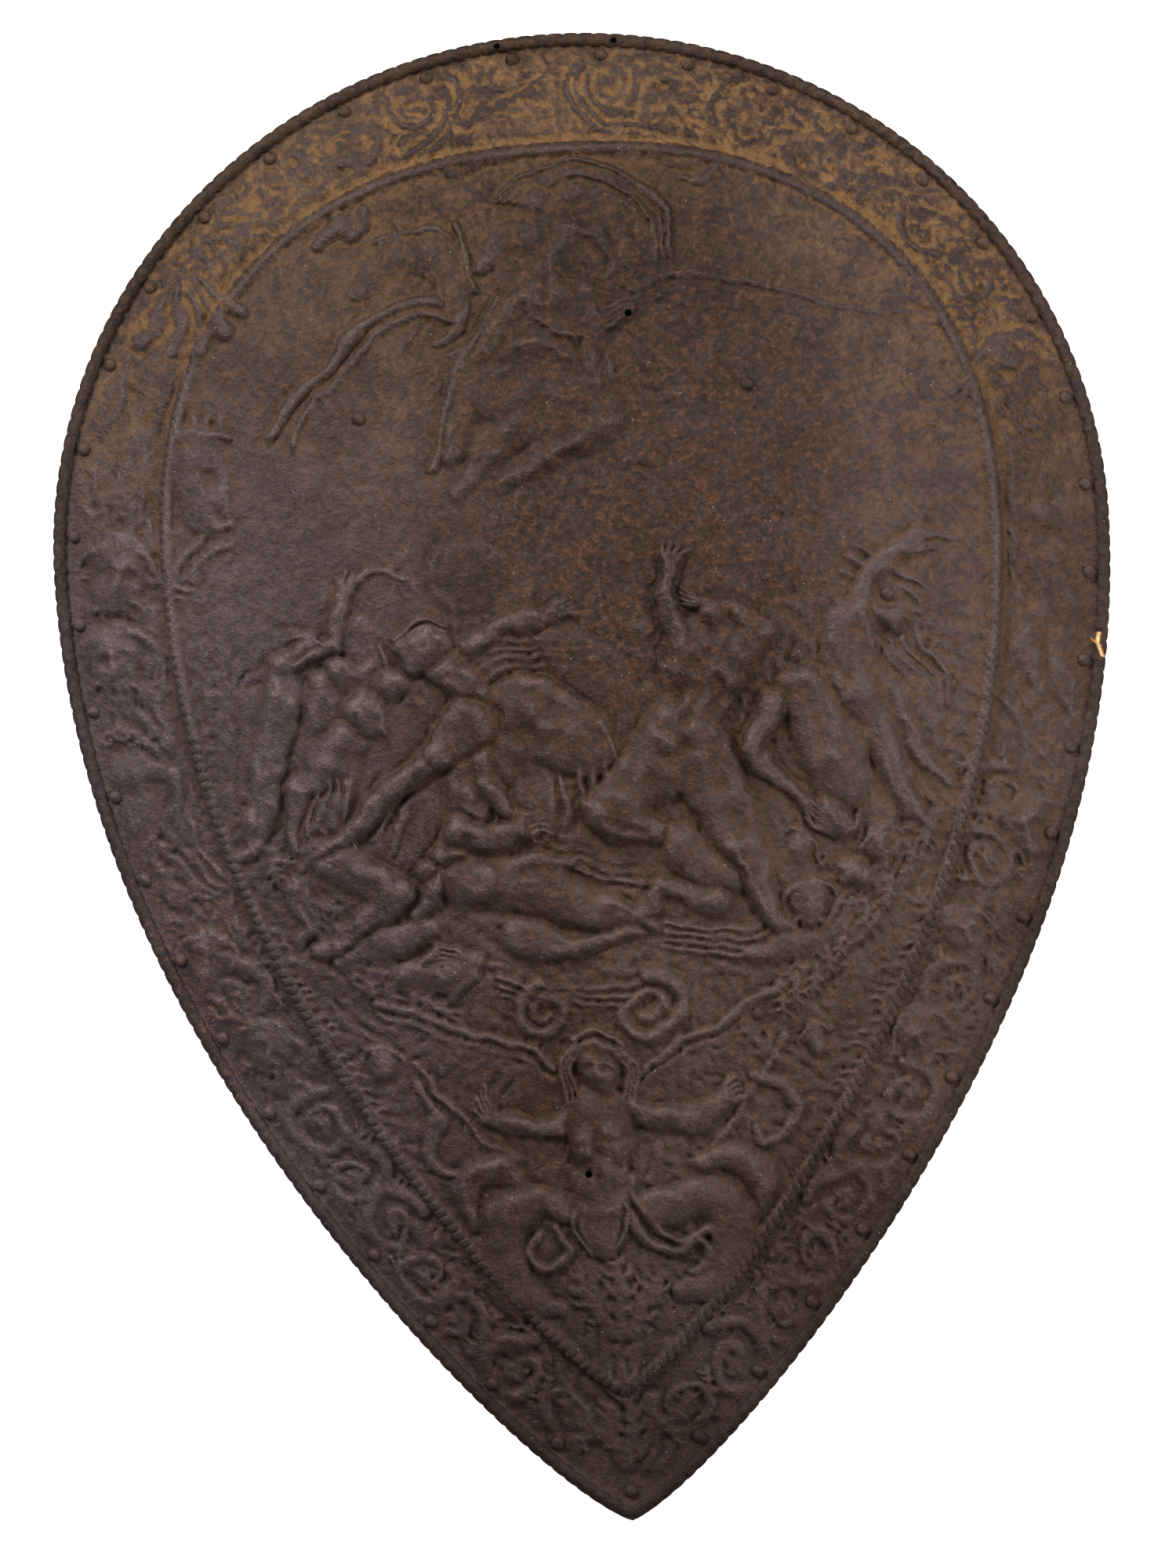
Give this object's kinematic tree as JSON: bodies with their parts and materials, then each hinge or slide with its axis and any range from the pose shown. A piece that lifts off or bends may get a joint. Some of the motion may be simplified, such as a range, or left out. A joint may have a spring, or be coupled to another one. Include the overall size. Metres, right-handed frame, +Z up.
{
  "type": "embossed parade shield",
  "caption": "Drop-shaped domed bronze shield with a rolled rim, a roped frame, a battle scene in relief and a row of domed rivets.",
  "frame": {"origin": "centre of the bounding box at its bottom, on the ground that the rim lies on", "axes": "+Z up, out of the carved face; +Y towards the round top; the point is towards -Y"},
  "size_m": [0.4536, 0.6397, 0.0562],
  "materials": {
    "plate_bronze": "dark brown patina, worn and dusty",
    "rivet_bronze": "dark brown patina"
  },
  "bodies": {
    "root": {"plate": "plate_bronze", "border_rivet_01": "rivet_bronze", "border_rivet_02": "rivet_bronze", "border_rivet_03": "rivet_bronze", "border_rivet_04": "rivet_bronze", "border_rivet_05": "rivet_bronze", "border_rivet_06": "rivet_bronze", "border_rivet_07": "rivet_bronze", "border_rivet_08": "rivet_bronze", "border_rivet_09": "rivet_bronze", "border_rivet_10": "rivet_bronze", "border_rivet_11": "rivet_bronze", "border_rivet_12": "rivet_bronze", "border_rivet_13": "rivet_bronze", "border_rivet_14": "rivet_bronze", "border_rivet_15": "rivet_bronze", "border_rivet_16": "rivet_bronze", "border_rivet_17": "rivet_bronze", "border_rivet_18": "rivet_bronze", "border_rivet_19": "rivet_bronze", "border_rivet_20": "rivet_bronze", "border_rivet_21": "rivet_bronze", "border_rivet_22": "rivet_bronze", "border_rivet_23": "rivet_bronze", "border_rivet_24": "rivet_bronze", "border_rivet_25": "rivet_bronze", "border_rivet_26": "rivet_bronze", "border_rivet_27": "rivet_bronze", "border_rivet_28": "rivet_bronze", "border_rivet_29": "rivet_bronze", "border_rivet_30": "rivet_bronze", "border_rivet_31": "rivet_bronze", "border_rivet_32": "rivet_bronze", "border_rivet_33": "rivet_bronze", "border_rivet_34": "rivet_bronze", "border_rivet_35": "rivet_bronze", "border_rivet_36": "rivet_bronze", "border_rivet_37": "rivet_bronze", "border_rivet_38": "rivet_bronze", "border_rivet_39": "rivet_bronze", "border_rivet_40": "rivet_bronze", "border_rivet_41": "rivet_bronze", "border_rivet_42": "rivet_bronze", "border_rivet_43": "rivet_bronze", "strap_rivet_upper_left": "rivet_bronze", "strap_rivet_upper_right": "rivet_bronze", "strap_rivet_right": "rivet_bronze", "strap_rivet_lower": "rivet_bronze"}
  },
  "joints": []
}
